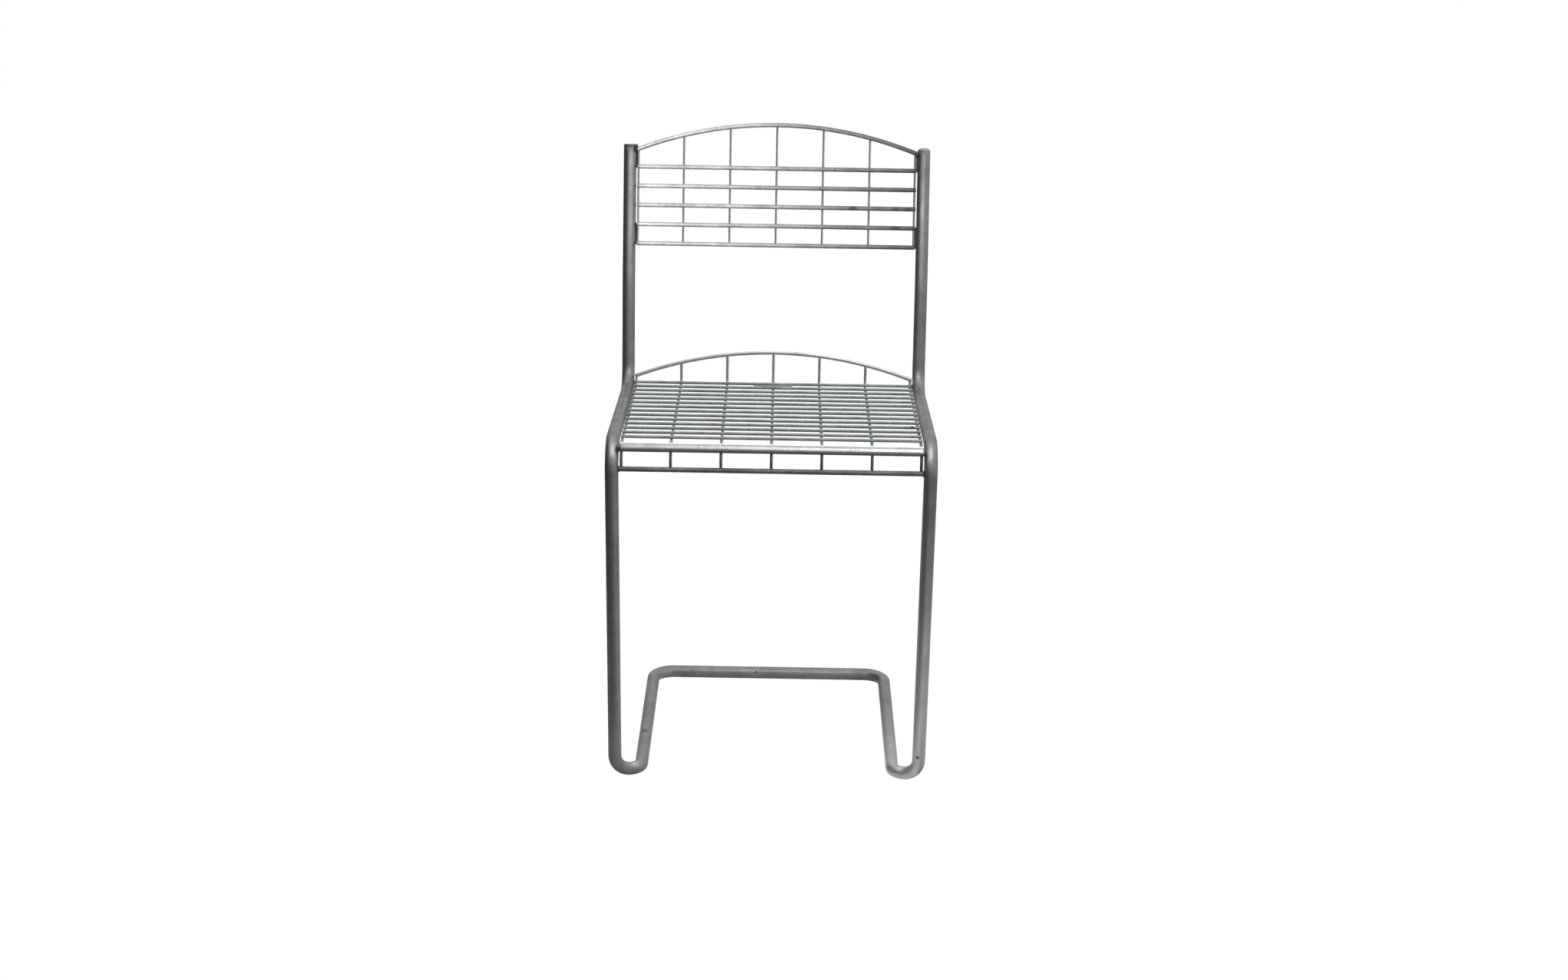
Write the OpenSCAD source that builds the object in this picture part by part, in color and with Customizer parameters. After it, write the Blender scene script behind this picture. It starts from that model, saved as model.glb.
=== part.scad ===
// Stacking chair: one bent round tube makes both uprights, both seat rails, both
// front legs and the floor loop. The seat and the back are grids of welded wire.
// Millimetres. X is left to right, the sitter faces -Y, Z is up from the floor.
// The origin is on the floor, at the middle of the chair's outline.

/* [Frame] */
// Outside diameter of the frame tube
tube_d = 17.2; // [16:0.1:18]
// Wall thickness of the frame tube
tube_wall = 2; // [1.2:0.1:3]
// Left tube to right tube, centre to centre
frame_w = 400; // [380:1:440]
// Inside corner to rear corner of a seat rail, front to back
rail_depth = 360; // [340:1:390]
// Height of the rail's front corner
rail_front_z = 475; // [440:1:500]
// How much lower the rail is at its rear corner
rail_fall = 22; // [10:1:24]
// Centre line radius of the bends at a rail's ends
bend_r = 35; // [30:1:35]
// How far the foot corner is behind the rail's front corner
foot_back = 58; // [30:1:70]
// How far each floor runner is inside its leg
runner_in = 33.5; // [33:0.5:38]
// Foot corner to the bar at the rear of the floor loop
floor_depth = 370; // [340:1:420]

/* [Uprights] */
// Rise of the lower, steeper part of an upright
lower_rise = 149; // [130:1:170]
// Lean of that part to the rear
lower_lean = 10; // [4:1:14]
// Rise of the upper part of an upright
upper_rise = 181; // [176:1:200]
// Lean of the upper part to the rear
upper_lean = 36; // [25:1:50]

/* [Wire grids] */
// Tube's centre to the outermost lengthwise wire's centre
wire_gap = 11.8; // [11.5:0.1:12.5]
// Spacing of the lengthwise wires between the outermost two
grid_pitch = 63.2; // [58:0.1:66]
// Diameter of the back's upright wires
back_wire_d = 3; // [2.5:0.1:4]
// Diameter of the back's cross wires and arched top wire
back_cross_d = 6; // [5:0.1:7]
// Spacing of the back's cross wires
back_cross_pitch = 26; // [22:0.5:27]
// Rise of the arched wires above their ends
arc_rise = 35; // [20:1:40]
// Diameter of the seat's lengthwise wires
seat_wire_d = 3.8; // [3:0.1:4.5]
// Diameter of the seat's cross wires
seat_cross_d = 4; // [3:0.1:5]
// Diameter of the arched wire behind the seat
seat_arc_d = 5; // [4:0.1:6]
// Diameter of the rod along the seat's front edge
front_rod_d = 12; // [10:0.5:14]
// Diameter of the wire below the front rod
apron_wire_d = 6.5; // [5:0.5:8]

/* [Hidden] */
$fn = 40;

zinc_tube = [0.50, 0.51, 0.52];
zinc_wire = [0.66, 0.69, 0.70];
zinc_rod = [0.72, 0.74, 0.74];
zinc_dull = [0.42, 0.43, 0.44];

tube_r = tube_d / 2;
bore_r = tube_r - tube_wall;
half_w = frame_w / 2;
knee_r = 200;
// A foot is two bends: below the leg the tube turns in and a little to the rear, then
// it turns straight back into the runner
foot_r = 26;
heel_r = 19;
heel_back = 17;
loop_r = 30;
// A bar is this much thicker all round in its bends, and its straight parts reach this
// far into them
bend_swell = 0.06;
bend_reach = 0.4;
floor_z = tube_r + bend_swell;

// The side of the frame as corners [y, z] of its centre line, before it is centred
rail_rear_z = rail_front_z - rail_fall;
rail_rear_y = rail_depth;
knee_y0 = rail_rear_y + lower_lean;
top_y0 = knee_y0 + upper_lean;
foot_y0 = foot_back;
bar_y0 = foot_y0 + floor_depth;

// Half the turn at the rail's front corner sets how far forward the bend reaches
rail_dir = unit([-rail_depth, rail_fall]);
leg_dir = unit([foot_back, floor_z - rail_front_z]);
front_turn = acos(rail_dir * leg_dir);
front_bisector = unit(leg_dir - rail_dir);
bend_front_y0 = front_bisector.x * bend_r / cos(front_turn / 2) - bend_r;
shift_y = -(bend_front_y0 + bar_y0) / 2;

// Corners of the frame's centre line, left top to the middle of the rear bar
top_z = rail_rear_z + lower_rise + upper_rise;
top_point = [-half_w, top_y0 + shift_y, top_z];
knee_point = [-half_w, knee_y0 + shift_y, rail_rear_z + lower_rise];
rail_rear_point = [-half_w, rail_rear_y + shift_y, rail_rear_z];
rail_front_point = [-half_w, shift_y, rail_front_z];
foot_point = [-half_w, foot_y0 + shift_y, floor_z];
heel_point = foot_point + [runner_in, heel_back, 0];
loop_point = [heel_point.x, bar_y0 + shift_y, floor_z];

// The end caps close the tube's upper ends
cap_lip = 2.2;
cap_chamfer = 1.8;
cap_h = cap_lip + cap_chamfer;
cap_spigot = 8;
cap_gap = 0.1;
upper_dir = unit(top_point - knee_point);
upper_len = norm(top_point - knee_point);
tube_end = top_point - cap_h * upper_dir;

frame_corners = [tube_end, knee_point, rail_rear_point, rail_front_point,
                 foot_point, heel_point, loop_point];
frame_radii = [knee_r, bend_r, bend_r, foot_r, heel_r, loop_r];

// Lengthwise wires, left to right
grid_w = frame_w - 2 * wire_gap;
cross_over = 1.8;
grid_x = [for (i = [-3:3]) abs(i) == 3 ? sign(i) * grid_w / 2 : i * grid_pitch];
cross_half = grid_w / 2 + cross_over;
frame_half = half_w - tube_r;

// Back grid, measured up the upper part of the uprights from the knee
back_bottom = 50.4;
back_arch_drop = 6.5;
back_arch_end = upper_len - back_arch_drop;
back_cross_off = (back_wire_d + back_cross_d) / 2;
arch_r = (pow(grid_w / 2, 2) + pow(arc_rise, 2)) / (2 * arc_rise);
arch_reach = frame_half;

// Short weld rods lie in the groove between an outer wire and its tube
weld_rod_r = 1.75;
groove_wire = back_wire_d / 2 + weld_rod_r;
groove_tube = tube_r + weld_rod_r;
groove_in = (pow(wire_gap, 2) + pow(groove_wire, 2) - pow(groove_tube, 2)) / (2 * wire_gap);
groove_back = sqrt(pow(groove_wire, 2) - pow(groove_in, 2));
weld_rod_over = 1.5;

// Seat grid: corners [y, z] of a lengthwise wire
seat_front_inset = 10;
seat_rear_inset = 7.5;
seat_drop = 4.3;
seat_fall = 9.2;
seat_front_y = rail_front_point.y + seat_front_inset;
seat_rear_y = rail_rear_point.y - seat_rear_inset;
seat_front_z = rail_front_z - seat_drop;
seat_rear_z = seat_front_z - seat_fall;
seat_front_r = 20;
seat_rear_r = 8;
seat_dir = unit([0, seat_front_y - seat_rear_y, seat_fall]);
seat_up = [0, seat_dir.z, -seat_dir.y];
seat_cross_off = (seat_wire_d + seat_cross_d) / 2;
seat_cross_start = 12;
seat_cross_end = 27.7;
seat_depth = norm([seat_rear_y - seat_front_y, seat_fall]);
seat_cross_pitch = (seat_depth - seat_cross_start - seat_cross_end) / 13;

// How far a welded end sinks into the tube
weld_depth = 1.2;

// Wires across the front edge and behind the seat
apron_off = (seat_wire_d + apron_wire_d) / 2;
apron_drop = 34.1;
apron_z = rail_front_z - apron_drop;
wire_stub = 1;
rod_off = seat_front_r + (seat_wire_d + front_rod_d) / 2;
rod_tilt = 40;
rod_y = seat_front_y + seat_front_r - rod_off * cos(rod_tilt);
rod_z = seat_front_z - seat_front_r + rod_off * sin(rod_tilt);
seat_arch_off = (seat_wire_d + seat_arc_d) / 2;
seat_arch_lift = 11.5;
seat_arch_end = seat_rear_z + seat_arch_lift;

// Weld pins bridge the slit between an outer seat wire and its tube
pin_d = 5;
pin_front_turn = 45;
pin_inner = grid_w / 2 + seat_wire_d / 4;
pin_outer = frame_half + weld_depth;

// Blank plate between the first two cross wires
plate_w = 52;
plate_t = 1.5;
plate_corner = 4;
plate_clear = 0.4;

function unit(v) = v / norm(v);
function mirrored(p) = [-p.x, p.y, p.z];
function reversed(v) = [for (i = [len(v) - 1:-1:0]) v[i]];
function turn(a, b, c) = acos(unit(b - a) * unit(c - b));
function trim(a, b, c, r) = r * tan(turn(a, b, c) / 2);
function arch_z(end_z, x) = end_z + arc_rise - arch_r + sqrt(arch_r * arch_r - x * x);

// Puts children at p with local X along ex and local Z along ez
module place(p, ex, ez) {
    ey = cross(ez, ex);
    multmatrix([[ex.x, ey.x, ez.x, p.x],
                [ex.y, ey.y, ez.y, p.y],
                [ex.z, ey.z, ez.z, p.z],
                [0, 0, 0, 1]])
        children();
}

// What a bar does at each of its inner corners: straight run up to the bend,
// roll of the bend about the bar, bend radius and angle turned
function steps(corners, radii) = [
    for (i = [1:len(corners) - 2])
        let (before = i == 1 ? 0 : trim(corners[i - 2], corners[i - 1], corners[i], radii[i - 2]),
             cut = trim(corners[i - 1], corners[i], corners[i + 1], radii[i - 1]))
            [norm(corners[i] - corners[i - 1]) - before - cut,
             i == 1 ? 0 : roll(corners, i),
             radii[i - 1],
             turn(corners[i - 1], corners[i], corners[i + 1])]];

// Direction in which the bar turns aside on its way from a to c by b
function aside(a, b, c) =
    let (along = unit(b - a), away = unit(c - b))
        unit(away - (away * along) * along);

// Angle from the plane of the last bend to the plane of the bend at corner i
function roll(corners, i) =
    let (a = corners[i - 2], b = corners[i - 1], c = corners[i],
         along = unit(b - a),
         side = aside(a, b, c),
         ex = side * cos(turn(a, b, c)) - along * sin(turn(a, b, c)),
         ey = cross(along, side),
         next = aside(b, c, corners[i + 1]))
        atan2(next * ey, next * ex);

// Round bar or tube section, its wall thicker by swell on each side; bore 0 is solid
module section(r, bore, swell) {
    difference() {
        circle(r = r + swell);
        if (bore > 0)
            circle(r = bore - swell);
    }
}

// Bends a section about the local Y axis: it starts on the -X side, heads up Z and
// turns towards +X by the angle. Two blocks cut a whole ring to that wedge.
module bend(radius, angle, r, bore) {
    reach = radius + 2 * r;
    intersection() {
        rotate([90, 0, 0])
            rotate_extrude()
                translate([radius, 0])
                    section(r, bore, bend_swell);
        translate([-reach, -2 * r, 0])
            cube([2 * reach, 4 * r, reach]);
        rotate([0, angle, 0])
            translate([-reach, -2 * r, -reach])
                cube([2 * reach, 4 * r, reach]);
    }
}

// Straight part up local Z, reaching into the bends before and after it
module straight(length, r, bore, before, after) {
    translate([0, 0, -before])
        linear_extrude(length + before + after)
            section(r, bore, 0);
}

// Runs a section up local Z, bending it towards local X at each step
module run(list, last, r, bore, i = 0) {
    before = i == 0 ? 0 : bend_reach;
    if (i == len(list)) {
        straight(last, r, bore, before, 0);
    } else {
        radius = list[i][2];
        angle = list[i][3];
        straight(list[i][0], r, bore, before, bend_reach);
        translate([0, 0, list[i][0]])
            rotate([0, 0, list[i][1]])
                translate([radius, 0, 0]) {
                    bend(radius, angle, r, bore);
                    rotate([0, angle, 0])
                        translate([-radius, 0, 0])
                            run(list, last, r, bore, i + 1);
                }
    }
}

// Sweeps a round bar of radius r, or a tube with that bore radius, through the corners
module sweep(corners, radii, r, bore = 0) {
    n = len(corners);
    last = norm(corners[n - 1] - corners[n - 2])
        - trim(corners[n - 3], corners[n - 2], corners[n - 1], radii[n - 3]);
    place(corners[0], aside(corners[0], corners[1], corners[2]), unit(corners[1] - corners[0]))
        run(steps(corners, radii), last, r, bore);
}

module frame_tube() {
    right_corners = [for (p = reversed(frame_corners)) mirrored(p)];
    color(zinc_tube)
        sweep(concat(frame_corners, right_corners),
              concat(frame_radii, reversed(frame_radii)), tube_r, bore_r);
}

module end_cap(side) {
    color(zinc_tube)
        place([side * half_w, tube_end.y, tube_end.z], [1, 0, 0], upper_dir) {
            translate([0, 0, -cap_spigot])
                cylinder(r = bore_r - cap_gap, h = cap_spigot);
            cylinder(r = tube_r, h = cap_lip);
            translate([0, 0, cap_lip])
                cylinder(r1 = tube_r, r2 = tube_r - cap_chamfer, h = cap_chamfer);
        }
}

// Children stand in the back's plane: X across, Z up the uprights, -Y to the sitter
module on_back() {
    place([0, knee_point.y, knee_point.z], [1, 0, 0], upper_dir)
        children();
}

// Straight wire across, its ends at +-half
module cross_bar(half, r) {
    rotate([0, 90, 0])
        translate([0, 0, -half])
            cylinder(r = r, h = 2 * half);
}

// Wire bent to one large arc, its ends at +-half
module arch(end_z, half, r) {
    spread = 2 * asin(half / arch_r);
    translate([0, 0, end_z + arc_rise - arch_r])
        rotate([90, 0, 0])
            rotate([0, 0, 90 - spread / 2])
                rotate_extrude(angle = spread, $fn = 360)
                    translate([arch_r, 0])
                        circle(r = r, $fn = 40);
}

module back_arch_wire() {
    color(zinc_wire)
        on_back()
            translate([0, -back_cross_off, 0])
                arch(back_arch_end, arch_reach, back_cross_d / 2);
}

// Row 0 is the back's bottom wire
module back_cross_wire(row) {
    color(zinc_wire)
        on_back()
            translate([0, -back_cross_off, back_row_z(row)])
                cross_bar(cross_half, back_cross_d / 2);
}

module back_upright_wire(column) {
    x = grid_x[column - 1];
    low = back_bottom - back_wire_d / 2;
    color(zinc_wire)
        on_back()
            translate([x, 0, low])
                cylinder(d = back_wire_d, h = arch_z(back_arch_end, x) - low);
}

function back_row_z(row) = back_bottom + row * back_cross_pitch;

// Weld rod from height low to height high on the back
module back_weld_rod(side, low, high) {
    color(zinc_dull)
        on_back()
            translate([side * (grid_w / 2 + groove_in), groove_back, low - weld_rod_over])
                cylinder(r = weld_rod_r, h = high - low + 2 * weld_rod_over);
}

module back_weld_rod_upper(side) {
    back_weld_rod(side, back_row_z(4), back_arch_end);
}

module back_weld_rod_lower(side) {
    back_weld_rod(side, back_row_z(0), back_row_z(1));
}

module seat_long_wire(column) {
    x = grid_x[column - 1];
    corners = [[x, seat_front_y, apron_z - wire_stub],
               [x, seat_front_y, seat_front_z],
               [x, seat_rear_y, seat_rear_z],
               [x, seat_rear_y, arch_z(seat_arch_end, x)]];
    color(zinc_wire)
        sweep(corners, [seat_front_r, seat_rear_r], seat_wire_d / 2);
}

// Row 1 is nearest to the uprights
module seat_cross_wire(row) {
    along = seat_cross_start + (row - 1) * seat_cross_pitch;
    color(zinc_wire)
        translate([0, seat_rear_y, seat_rear_z] + along * seat_dir + seat_cross_off * seat_up)
            cross_bar(cross_half, seat_cross_d / 2);
}

module seat_arch_wire() {
    color(zinc_wire)
        translate([0, seat_rear_y - seat_arch_off, 0])
            arch(seat_arch_end, cross_half, seat_arc_d / 2);
}

module seat_front_rod() {
    color(zinc_rod)
        translate([0, rod_y, rod_z])
            cross_bar(frame_half + weld_depth, front_rod_d / 2);
}

module seat_apron_wire() {
    color(zinc_dull)
        translate([0, seat_front_y - apron_off, apron_z])
            cross_bar(frame_half, apron_wire_d / 2);
}

module weld_pin(side, y, z) {
    color(zinc_dull)
        translate([side * pin_inner, y, z])
            rotate([0, side * 90, 0])
                cylinder(d = pin_d, h = pin_outer - pin_inner);
}

module seat_weld_pin_front(side) {
    weld_pin(side,
             seat_front_y + seat_front_r - seat_front_r * cos(pin_front_turn),
             seat_front_z - seat_front_r + seat_front_r * sin(pin_front_turn));
}

module seat_weld_pin_rear(side) {
    weld_pin(side, seat_rear_y - seat_rear_r / 2, seat_rear_z + seat_rear_r / 4);
}

module rounded_square(w, d, r) {
    square([w - 2 * r, d], center = true);
    square([w, d - 2 * r], center = true);
    for (sx = [-1, 1], sy = [-1, 1])
        translate([sx * (w / 2 - r), sy * (d / 2 - r)])
            circle(r = r);
}

module name_plate() {
    depth = seat_cross_pitch - seat_cross_d - 2 * plate_clear;
    middle = seat_cross_start + seat_cross_pitch / 2;
    color(zinc_dull)
        place([0, seat_rear_y, seat_rear_z] + middle * seat_dir + seat_wire_d / 2 * seat_up,
              [1, 0, 0], seat_up)
            linear_extrude(plate_t)
                rounded_square(plate_w, depth, plate_corner);
}

frame_tube();
end_cap(-1);  // left_end_cap
end_cap(1);  // right_end_cap
back_arch_wire();
back_cross_wire(0);  // back_bottom_wire
for (i = [1:4])
    back_cross_wire(i);
for (i = [1:7])
    back_upright_wire(i);
back_weld_rod_upper(-1);  // back_weld_rod_upper_left
back_weld_rod_upper(1);  // back_weld_rod_upper_right
back_weld_rod_lower(-1);  // back_weld_rod_lower_left
back_weld_rod_lower(1);  // back_weld_rod_lower_right
seat_arch_wire();
seat_front_rod();
seat_apron_wire();
for (i = [1:14])
    seat_cross_wire(i);
for (i = [1:7])
    seat_long_wire(i);
seat_weld_pin_front(-1);  // seat_weld_pin_front_left
seat_weld_pin_front(1);  // seat_weld_pin_front_right
seat_weld_pin_rear(-1);  // seat_weld_pin_rear_left
seat_weld_pin_rear(1);  // seat_weld_pin_rear_right
name_plate();
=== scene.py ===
import math

import bpy
from mathutils import Matrix, Vector, noise


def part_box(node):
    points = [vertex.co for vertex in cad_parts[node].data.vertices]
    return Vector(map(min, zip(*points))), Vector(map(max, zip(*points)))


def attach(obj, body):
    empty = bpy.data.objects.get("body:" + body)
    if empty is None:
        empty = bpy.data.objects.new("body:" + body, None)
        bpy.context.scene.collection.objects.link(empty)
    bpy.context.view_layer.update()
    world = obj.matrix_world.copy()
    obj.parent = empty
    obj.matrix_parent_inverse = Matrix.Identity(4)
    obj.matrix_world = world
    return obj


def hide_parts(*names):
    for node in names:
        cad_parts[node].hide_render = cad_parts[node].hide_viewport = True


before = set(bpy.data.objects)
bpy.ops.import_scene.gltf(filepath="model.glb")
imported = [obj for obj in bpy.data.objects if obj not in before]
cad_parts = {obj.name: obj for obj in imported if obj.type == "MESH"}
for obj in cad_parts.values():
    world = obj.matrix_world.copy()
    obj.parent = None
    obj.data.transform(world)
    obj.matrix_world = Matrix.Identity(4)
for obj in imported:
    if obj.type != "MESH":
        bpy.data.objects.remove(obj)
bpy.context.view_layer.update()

SCENE = bpy.context.scene
X, Y, Z = 0, 1, 2
X_AXIS, Y_AXIS, Z_AXIS = Vector((1, 0, 0)), Vector((0, 1, 0)), Vector((0, 0, 1))
SIDE = {"left": -1, "right": 1}


def middle(node):
    low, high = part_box(node)
    return (low + high) / 2


def half_side(node, axis):
    """Half the length of one side of a node's box."""
    low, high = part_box(node)
    return (high[axis] - low[axis]) / 2


# ---------------------------------------------------------------- the chair's own measures, in metres

CLEAR = 0.00006                 # how far inside the CAD model's box the skins lie

TUBE_R = 0.0086
KNEE_R = 0.2                    # the slight bend in each upright
BEND_R = 0.035                  # the bends at both ends of a seat rail
FOOT_R, HEEL_R = 0.026, 0.019   # a foot's two bends
LOOP_R = 0.03                   # the floor loop's rear corners
FRONT_Z, REAR_Z, KNEE_Z, TOP_Z = 0.475, 0.453, 0.602, 0.783
RAIL_RUN, LOWER_LEAN, UPPER_LEAN = 0.36, 0.01, 0.036
FOOT_BACK, LOOP_RUN, RUNNER_IN, HEEL_BACK = 0.058, 0.37, 0.0335, 0.017
CAP_DROP = 0.004                # how far short of its path's top the tube ends, and the caps begin

tube_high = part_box("frame_tube")[1]
FLOOR_Z = TUBE_R + CLEAR
HALF_W = tube_high.x - FLOOR_Z
BAR_Y = tube_high.y - FLOOR_Z
FOOT_Y = BAR_Y - LOOP_RUN
FRONT_Y = FOOT_Y - FOOT_BACK
REAR_Y = FRONT_Y + RAIL_RUN
KNEE_Y = REAR_Y + LOWER_LEAN
TOP_Y = KNEE_Y + UPPER_LEAN

BACK_UP = Vector((0, UPPER_LEAN, TOP_Z - KNEE_Z)).normalized()
BACK_REAR = BACK_UP.cross(X_AXIS)
BACK_FRONT = -BACK_REAR.normalized()

GRID_HALF = middle("seat_long_wire_7").x
ARCH_RISE = 0.035               # what both arches rise over the width of the grids
ARCH_R = (GRID_HALF ** 2 + ARCH_RISE ** 2) / (2 * ARCH_RISE)
SEAT_ARCH_IN = 0.0009           # how far inside its box the seat arch's centre line ends

BACK_WIRE_R = half_side("back_upright_wire_1", X)
BACK_CROSS_R = half_side("back_cross_wire_1", Z)
SEAT_WIRE_R = half_side("seat_long_wire_1", X)
SEAT_ARCH_R = half_side("seat_arch_wire", Y)
SEAT_CROSS_R = half_side("seat_cross_wire_1", Z)

SEAT_FRONT_R, SEAT_REAR_R = 0.02, 0.008
SEAT_FRONT_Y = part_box("seat_long_wire_1")[0].y + SEAT_WIRE_R + CLEAR
SEAT_REAR_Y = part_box("seat_long_wire_4")[1].y - SEAT_WIRE_R - CLEAR
seat_first, seat_last = middle("seat_cross_wire_1"), middle("seat_cross_wire_14")
SEAT_DIR = (seat_last - seat_first).normalized()
SEAT_UP = Vector((0, SEAT_DIR.z, -SEAT_DIR.y))
ON_SEAT = seat_first - SEAT_UP * (SEAT_CROSS_R + SEAT_WIRE_R)

ROD_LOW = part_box("seat_front_rod")[0].z
ROD_HALF, ROD_LAST = 0.1903, 0.1885     # where the front rod ends, and its points before the end

BEAD_GAP, BEAD_HALF_HEIGHT = 0.0009, 0.00075
ARCH_BEAD_DROP, APRON_BEAD_RISE = 0.0008, 0.0005
WELD_ROD_R, WELD_SKIN_R = 0.00175, 0.0017
ARCH_WELD_IN, ARCH_WELD_HALF_DEPTH = 0.0004, 0.0042
ARCH_WELD = {"left": (0.0026, 0.0058, 0.0022), "right": (0.0018, 0.0040, 0.0)}  # half width and length, rise
ROD_WELD, ROD_WELD_X, ROD_WELD_SHIFT = (0.0018, 0.0036, 0.0034), 0.1904, Vector((0, 0.0026, -0.0030))
APRON_WELD, APRON_WELD_X = (0.0014, 0.0036, 0.0040), 0.1908
WELD_PIN = (0.0024, 0.0034, 0.0028)

PLATE_HALF_RUN, PLATE_THICK, PLATE_CORNER, PLATE_EDGE = 0.00925, 0.0015, 0.004, 0.0004

BACK_CROSS = ["back_bottom_wire"] + [f"back_cross_wire_{i}" for i in range(1, 5)]
COLUMNS, SEAT_ROWS = range(1, 8), range(1, 15)


def seat_z(y):
    """Height of the lengthwise seat wires' centre lines at y."""
    return ON_SEAT.z + (y - ON_SEAT.y) * SEAT_DIR.z / SEAT_DIR.y


# ---------------------------------------------------------------- paths


def wobble(p, scale, seed=0.0):
    """Smooth noise from -1 to 1 at a point; scale is how many lumps there are in a metre."""
    return noise.noise(p * scale + Vector((seed, 2.7 * seed, -1.3 * seed)))


def at_x(x, p):
    return Vector((x, p.y, p.z))


def between(a, b, step):
    """Even points from a towards b, without b itself."""
    n = max(1, round((b - a).length / step))
    return [a.lerp(b, k / n) for k in range(n)]


def fillet(corners, radii, turn_step, run_step):
    """Points along a line through the corners, each inner corner rounded to its radius.

    turn_step is in degrees, run_step in metres.
    """
    pts = []
    start = corners[0]
    for i in range(1, len(corners) - 1):
        a, b, c = corners[i - 1], corners[i], corners[i + 1]
        come, go = (b - a).normalized(), (c - b).normalized()
        turn = come.angle(go)
        cut = radii[i - 1] * math.tan(turn / 2)
        p0, p1 = b - come * cut, b + go * cut
        pts += between(start, p0, run_step)
        axis = come.cross(go).normalized()
        centre = p0 + axis.cross(come) * radii[i - 1]
        n = max(2, math.ceil(math.degrees(turn) / turn_step))
        for k in range(n):
            pts.append(centre + Matrix.Rotation(turn * k / n, 3, axis) @ (p0 - centre))
        start = p1
    return pts + between(start, corners[-1], run_step) + [corners[-1]]


def frames_along(pts):
    """Tangent and two normals at each point, carried along without twist."""
    n = len(pts)
    tangents = [(pts[min(i + 1, n - 1)] - pts[max(i - 1, 0)]).normalized() for i in range(n)]
    side = tangents[0].orthogonal().normalized()
    out = []
    for i, t in enumerate(tangents):
        if i:
            side = tangents[i - 1].rotation_difference(t) @ side
        side = (side - t * side.dot(t)).normalized()
        out.append((t, side, t.cross(side)))
    return out


def straight(node, seed, bow=0.00015):
    """Centre line and radius of a wire along X like the CAD one, with the slight bow of real wire."""
    low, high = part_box(node)
    mid = (low + high) / 2
    start, end = at_x(low.x, mid), at_x(high.x, mid)
    pts = between(start, end, 0.006) + [end]
    off = [Vector((0, wobble(p, 9, seed), wobble(p, 9, seed + 5))) * bow for p in pts]
    return [p + d for p, d in zip(pts, off)], (high.z - low.z) / 2


def arch_points(crown, down, half, steps=90):
    """Centre line of an arch whose ends are half to either side of its crown."""
    spread = math.asin(half / ARCH_R)
    out = []
    for k in range(steps + 1):
        a = -spread + 2 * spread * k / steps
        out.append(crown + X_AXIS * (ARCH_R * math.sin(a)) + down * (ARCH_R * (1 - math.cos(a))))
    return out


def upright_ends(node, r):
    """Ends of the centre line of a rod that leans with the back, from its box."""
    low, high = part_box(node)
    x = (low.x + high.x) / 2
    return (Vector((x, low.y + r * BACK_UP.z, low.z + r * BACK_UP.y)),
            Vector((x, high.y - r * BACK_UP.z, high.z - r * BACK_UP.y)))


# ---------------------------------------------------------------- meshes


def finished(name, verts, faces, material, slot, replaced=()):
    """A smooth mesh piece that rides on the chair's one body."""
    mesh = bpy.data.meshes.new(name)
    mesh.from_pydata([tuple(v) for v in verts], [], faces)
    mesh.validate()
    mesh.polygons.foreach_set("use_smooth", [True] * len(mesh.polygons))
    mesh.materials.append(material)
    obj = bpy.data.objects.new(name, mesh)
    SCENE.collection.objects.link(obj)
    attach(obj, "root")
    if replaced:
        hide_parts(*replaced)


def bar_mesh(pts, radius, sides, edge, lump, grain, seed, shape=None):
    """Vertices and faces of a round bar with worn ends and an uneven zinc coat.

    edge is the ends' rounding and lump the coat's unevenness, each as a share of the radius; grain is how
    many lumps there are in a metre; shape(s) is a factor on the radius at a share s of the bar's rings.
    """
    frames = frames_along(pts)
    worn = edge * radius
    turns = (0.0, 0.5, 1.0)
    ends = []
    for end, axes, sign in ((pts[0], frames[0], 1), (pts[-1], frames[-1], -1)):
        ends.append([(end + axes[0] * sign * worn * (1 - math.cos(a)), axes,
                      radius - worn * (1 - math.sin(a))) for a in turns])
    inner = [(p, axes, radius) for p, axes in zip(pts, frames)
             if (p - pts[0]).length > worn * 1.2 and (p - pts[-1]).length > worn * 1.2]
    rings = ends[0] + inner + ends[1][::-1]
    verts, faces = [], []
    for k, (p, (_, u, v), r) in enumerate(rings):
        coated = len(turns) <= k < len(rings) - len(turns)
        for j in range(sides):
            a = 2 * math.pi * j / sides
            out = u * math.cos(a) + v * math.sin(a)
            here = r * (1 + (lump * wobble(p + out * r, grain, seed) if coated else 0))
            if shape:
                here *= shape(k / (len(rings) - 1))
            verts.append(p + out * here)
    for k in range(len(rings) - 1):
        for j in range(sides):
            a, b = k * sides + j, k * sides + (j + 1) % sides
            faces.append((a, b, b + sides, a + sides))
    for ring, end, flip in ((0, pts[0], True), (len(rings) - 1, pts[-1], False)):
        hub = len(verts)
        verts.append(end)
        for j in range(sides):
            a, b = ring * sides + j, ring * sides + (j + 1) % sides
            faces.append((b, a, hub) if flip else (a, b, hub))
    return verts, faces


def ripples(count, seed):
    """The waves along a weld, as a factor on its radius."""
    return lambda s: 1 + 0.07 * math.sin(s * count * 0.85) + 0.05 * math.sin(s * count * 0.37 + seed)


def joined(parts):
    """Several (verts, faces) as one."""
    verts, faces = [], []
    for v, f in parts:
        base = len(verts)
        verts += v
        faces += [tuple(i + base for i in face) for face in f]
    return verts, faces


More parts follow.
